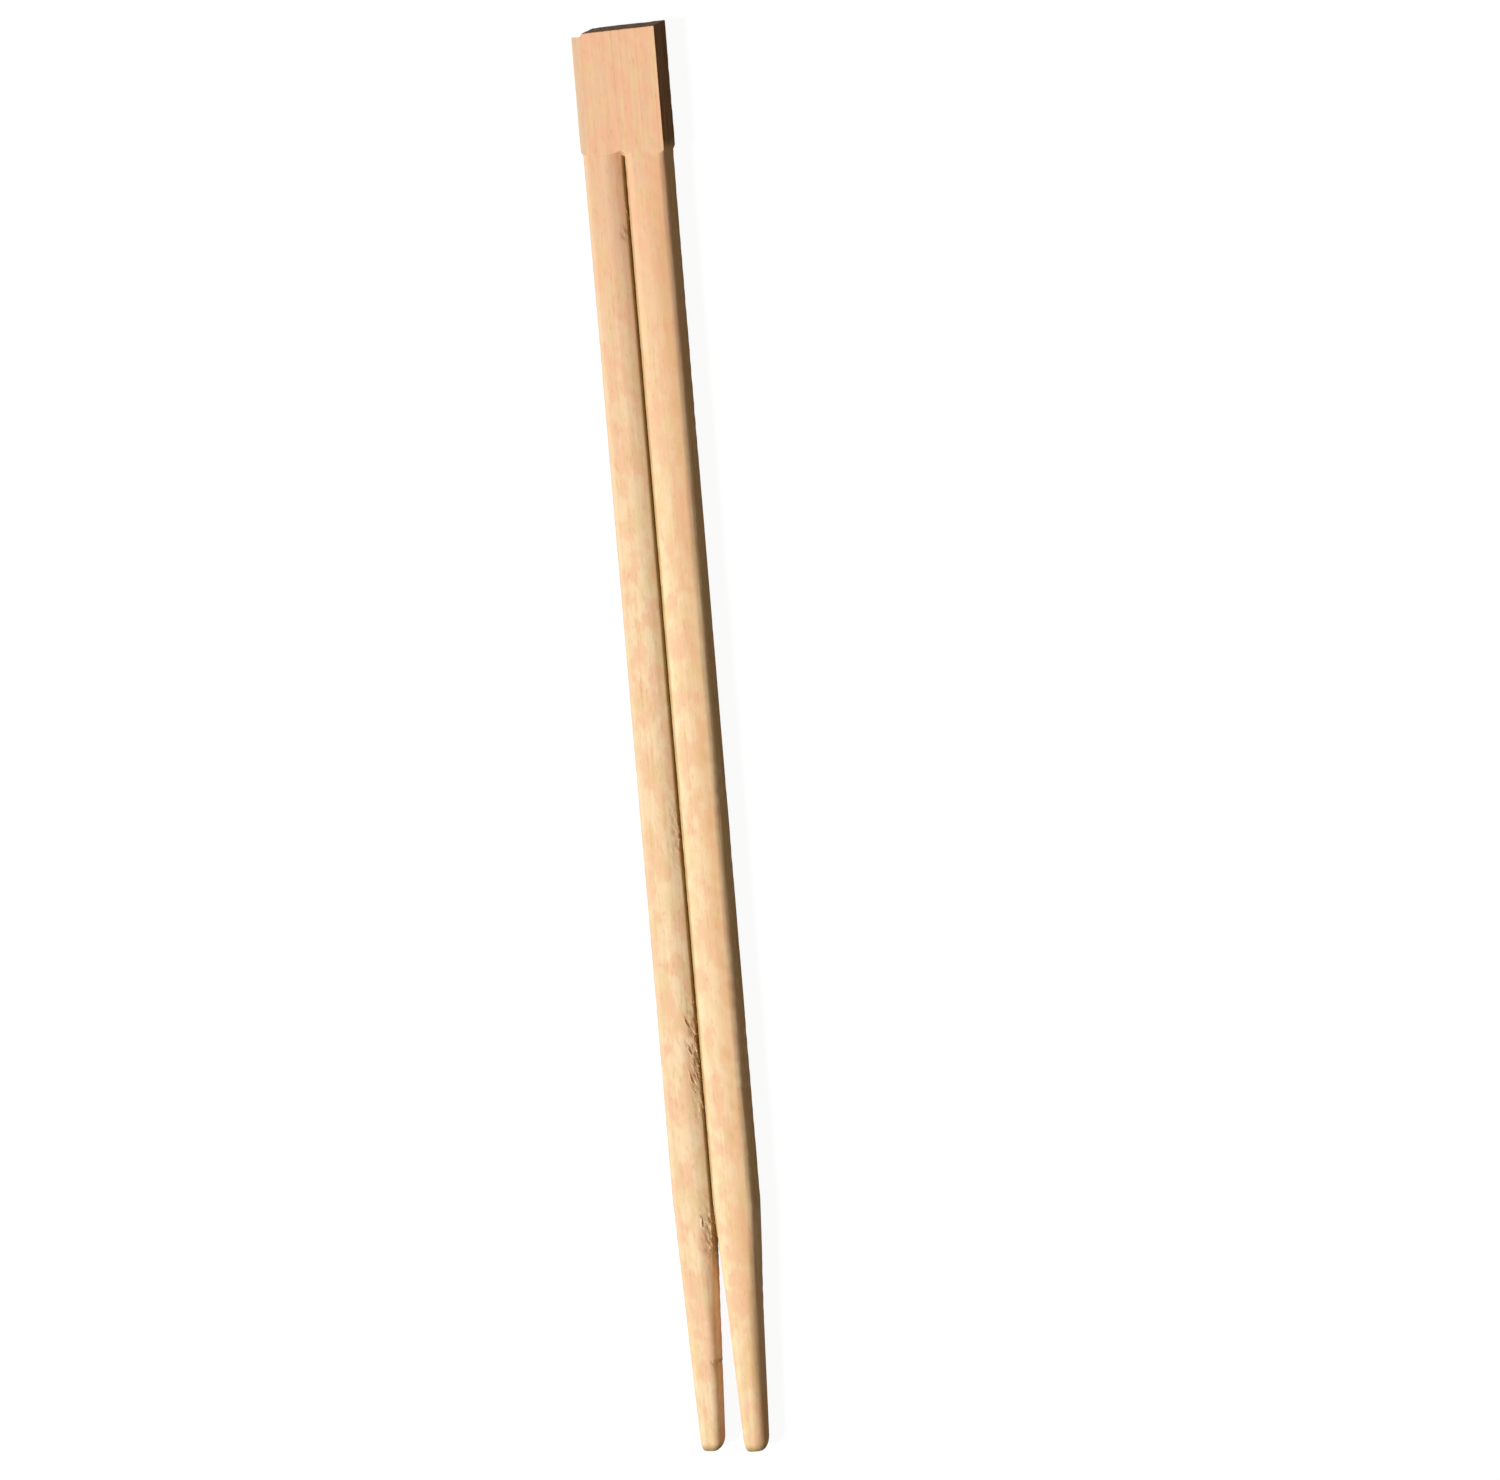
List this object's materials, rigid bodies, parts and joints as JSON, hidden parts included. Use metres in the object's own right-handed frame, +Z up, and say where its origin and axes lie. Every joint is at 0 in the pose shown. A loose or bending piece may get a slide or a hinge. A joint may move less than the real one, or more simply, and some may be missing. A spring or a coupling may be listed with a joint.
{
  "type": "pair of bamboo chopsticks",
  "caption": "Flat bamboo strip planed into a joined pair of rounded sticks, with a square head and slit, tapered tips, to be snapped apart for eating.",
  "frame": {"origin": "under the middle of the strip, on the surface that it lies on", "axes": "+X across the pair, +Y along the sticks towards the square head, +Z up through the thickness"},
  "size_m": [0.0126, 0.21, 0.005],
  "materials": {
    "bamboo": "planed and lightly sanded, matt, with no coating"
  },
  "bodies": {
    "root": {"chopstick_pair": "bamboo"}
  },
  "joints": []
}
